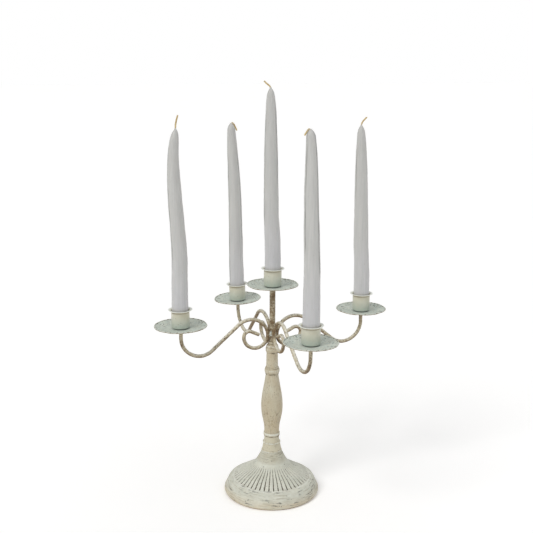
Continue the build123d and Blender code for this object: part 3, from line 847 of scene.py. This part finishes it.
def make_cup(name, seed, material):
    """A thin cup with a flared lip. Its outline runs up outside and back down inside."""
    outer, inner, columns = 11.8, 11.2, 112
    parts = [
        [(SCREW_HOLE, 0), (5, 0), (8.8, 0)],
        [(8.8, 0), (10.3, 0.35), (11.4, 1.4), (outer, 3.0)],
        [(outer, 3.0), (outer, 12), (outer, 22.6)],
        [(outer, 22.6), (12.05, 23.3), (12.8, 23.62)],
        [(12.8, 23.62), (14, 23.95), (15.35, 24.3)],
        [(15.35, 24.3), (15.75, 24.7), (15.35, 25.1)],
        [(15.35, 25.1), (14, 24.73), (12.8, 24.42)],
        [(12.8, 24.42), (11.6, 23.9), (inner, 22.8)],
        [(inner, 22.8), (inner, 12), (inner, 3.4)],
        [(inner, 3.4), (10.5, 1.7), (8.8, 1.0)],
        [(8.8, 1.0), (5, 1.0), (SCREW_HOLE, 1.0)],
    ]
    lines = []
    for points in parts:
        tall = abs(points[0][1] - points[-1][1]) > 5
        lines.append(respaced(smooth_curve(points, 60), 0.9 if tall else 0.4))
    outline = np.concatenate([line[:-1] for line in lines] + [lines[-1][-1:]])
    wide, height, radius = np.ones((1, columns)), outline[:, 1:], outline[:, :1]
    places = around(outline, columns)
    dent = 0.07 * lumps(places * (1, 1, 0.6), 19, seed)
    inside_wall = (np.abs(radius - inner) < 0.5) & (height > 1.2)
    dent = np.where(inside_wall, np.clip(dent, 0, 1), dent)
    places[..., :2] *= 1 + (dent / np.maximum(radius, 8))[..., None]
    places[..., 2] += 0.1 * lumps(places * LEVEL, 20, seed + 1) * np.clip((height - 20) / 5, 0, 1)
    places[..., 2] += PAN_THICKNESS
    values = {
        "low": wide * np.clip(1 - height / 18, 0, 1),
        "edge": wide * np.clip((radius - 12.4) / 1.2, 0, 1),
        # groove darkens the foot of the cup with painted shade.
        "groove": wide * np.clip((2.0 - height) / 0.9, 0, 1),
        "shade": wide * (radius > outer - 0.2) * hump(height - 22.2, 0.8),
    }
    make_piece(f"cup_{name}", placed(places, holder_place(name)), grid_faces(len(outline), columns, True),
               material, "stand", [f"candle_cup_{name}"], values, 45)


# ---- candles ----
def candle_place(name):
    """Stands a candle in its cup, with its own +X turned to WARP_AZIMUTH."""
    azimuth = 0 if name == "centre" else ARMS[name][0]
    turn = turning(WARP_AZIMUTH - azimuth, "Z")
    return holder_place(name) @ turn @ Matrix.Translation((0, 0, CANDLE_BASE))


def wax_profile(length, tip):
    """(radius, height) rows from under the candle's foot up to the wick."""
    radii = {**WAX_RADII, HELD_HEIGHT / length: HELD_RADIUS, **tip}
    points = [(radius, at * length) for at, radius in sorted(radii.items())]
    points += [(0.72 * points[-1][0] + 0.1, length + 0.45), (0.88, length + 1.3)]
    foot = [(3.0, 0.0), (9.6, 0.0), (10.5, 0.5), (10.75, 2.0)]
    return np.concatenate([foot, respaced(smooth_curve(points, 1500), 1.1)])


def wax_aside(height, length, offsets):
    """How far the wax stands aside at each height: not at all in the cup, easing out above it."""
    keys = np.array(ASIDE_AT) * length
    bends = smooth_curve(np.stack([keys, [0, *offsets]], axis=1), 400)
    ease = np.clip((height - HELD_HEIGHT) / (keys[1] - HELD_HEIGHT), 0, 1)
    return np.where(height < keys[1], offsets[0] * ease ** 2, np.interp(height, bends[:, 0], bends[:, 1]))


def wax_ridges(part, angle, seed):
    """Low ridges and hollows that run some way along the wax, at random places round it."""
    draw, total, count = np.random.default_rng(seed), 0, 7
    for _ in range(count):
        where = draw.uniform(0, FULL_TURN)
        start = draw.uniform(0.2, 0.75)
        run = draw.uniform(0.1, 0.3)
        tall = draw.uniform(-0.25, 0.3)
        along = np.clip(1 - np.abs(part - start - run / 2) / (run / 2), 0, 1) ** 0.5
        total = total + tall * hump(away_from(where, angle), 0.2) * along
    return total


def make_candle(name, seed, material):
    """A taper that has warped and creased in the warmth."""
    length, offsets, tip, _ = CANDLES[name]
    profile, columns = wax_profile(length, tip), 72
    height, angle = profile[:, 1:], np.arange(columns) * FULL_TURN / columns
    true = around(profile, columns)
    part = height / length
    uneven = 0.13 * np.cos(3 * angle + seed + 0.006 * height) + 0.09 * np.cos(7 * angle - 0.011 * height)
    uneven = uneven + 0.13 * lumps(true * (1, 1, 0.3), 9, seed)
    uneven = uneven + 0.05 * lumps(true * (1, 1, 0.8), 4, seed + 1)
    uneven = uneven + wax_ridges(part, angle, seed + 2)
    crease = np.zeros_like(uneven)
    for azimuth, low, high in CREASES[name]:
        ends = np.clip(np.minimum(part - low, high - part) / 0.06, 0, 1)
        off = np.abs(away_from(math.radians(azimuth), angle))
        crease = np.maximum(crease, np.clip(1.4 - off / 0.11, 0, 1) * ends)
    free = np.clip((height - HELD_HEIGHT - 2) / 12, 0, 1) * np.clip((length - height) / 22, 0.15, 1)
    radius = profile[:, :1] + (uneven - 0.4 * crease) * free
    aside = wax_aside(profile[:, 1], length, offsets)[:, None]
    level = np.broadcast_to(height, radius.shape)
    places = np.stack([aside + radius * np.cos(angle), radius * np.sin(angle), level], -1)
    values = {"fold": crease, "along": np.broadcast_to(part, radius.shape)}
    make_piece(f"wax_{name}", placed(places, candle_place(name)), bar_faces(len(profile), columns), material,
               f"taper_{name}", [f"candle_{name}"], values, 60)


def make_wick(name, seed, material):
    """Three loosely twisted strands, spread a little at the cut end and waxed near the candle."""
    length, offsets, shape, steps = CANDLES[name]
    spacing, strands, sides, twist = 0.28, 3, 9, 4.2
    bare_from, waxed_run = 8, 8 if shape is BLUNT_TIP else 4
    tip = np.array((offsets[-1], length))
    points = [tip - (0, 7.5), tip - (0, 1.5)] + [tip + step for step in steps]
    flat = respaced(smooth_curve(points, 400), spacing)[:-2]
    line = np.stack([flat[:, 0], np.zeros(len(flat)), flat[:, 1]], axis=1)
    run = np.arange(len(line)) * spacing
    line[:, 1] += 0.25 * lumps(line, 9, seed) * np.clip((run - bare_from) / 3, 0, 1)
    along = ways_along(line)
    side = np.cross(along, (0, 1.0, 0))
    side /= np.linalg.norm(side, axis=1)[:, None]
    third = np.cross(along, side)
    open_end = np.clip(1 - (run[-1] - run) / 1.8, 0, 1)
    places, faces, waxed = [], [], []
    for strand in range(strands):
        angle = run / twist * FULL_TURN + strand * FULL_TURN / strands
        offset = 0.5 + 0.15 * open_end * (0.6 + 0.4 * math.sin(strand * 2.1 + seed))
        centre = line + (side * np.cos(angle)[:, None] + third * np.sin(angle)[:, None]) * offset[:, None]
        keep = len(centre) - (0, 2, 1)[(strand + seed) % strands]
        radii = (0.6 - 0.2 * open_end + 0.03 * np.sin(run * 5 + strand))[:keep]
        part, part_faces, _ = tube(centre[:keep], radii, sides)
        first = sum(map(len, places))
        faces += [[corner + first for corner in face] for face in part_faces]
        places.append(part)
        waxed.append(np.repeat(np.clip(1 - (run[:keep] - bare_from) / waxed_run, 0.1, 1), sides))
    make_piece(f"cotton_{name}", placed(np.concatenate(places), candle_place(name)), faces, material,
               f"taper_{name}", [f"wick_{name}"], {"waxed": np.concatenate(waxed)}, 60)


# ---- the whole object ----
add_camera()
add_studio()
add_floor()
make_foot(foot_paint())
make_column(column_paint())
rod_material, pan_material, cup_material = arm_paint(), pan_paint(), cup_paint()
make_stem(rod_material)
make_welds(rod_material)
wax_material, cotton_material = candle_wax(), wick_cotton()
for number, place in enumerate(ARMS):
    make_arm(place, 200 + 10 * number, rod_material)
for number, place in enumerate(CANDLES):
    make_pan(place, 300 + 10 * number, pan_material)
    make_cup(place, 400 + 10 * number, cup_material)
    make_candle(place, 500 + 10 * number, wax_material)
    make_wick(place, 600 + 10 * number, cotton_material)
steel = zinc_steel()
for node in ["base_washer", "base_nut"] + [f"cup_screw_{place}" for place in CANDLES]:
    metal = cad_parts[node]
    metal.data.materials.clear()
    metal.data.materials.append(steel)
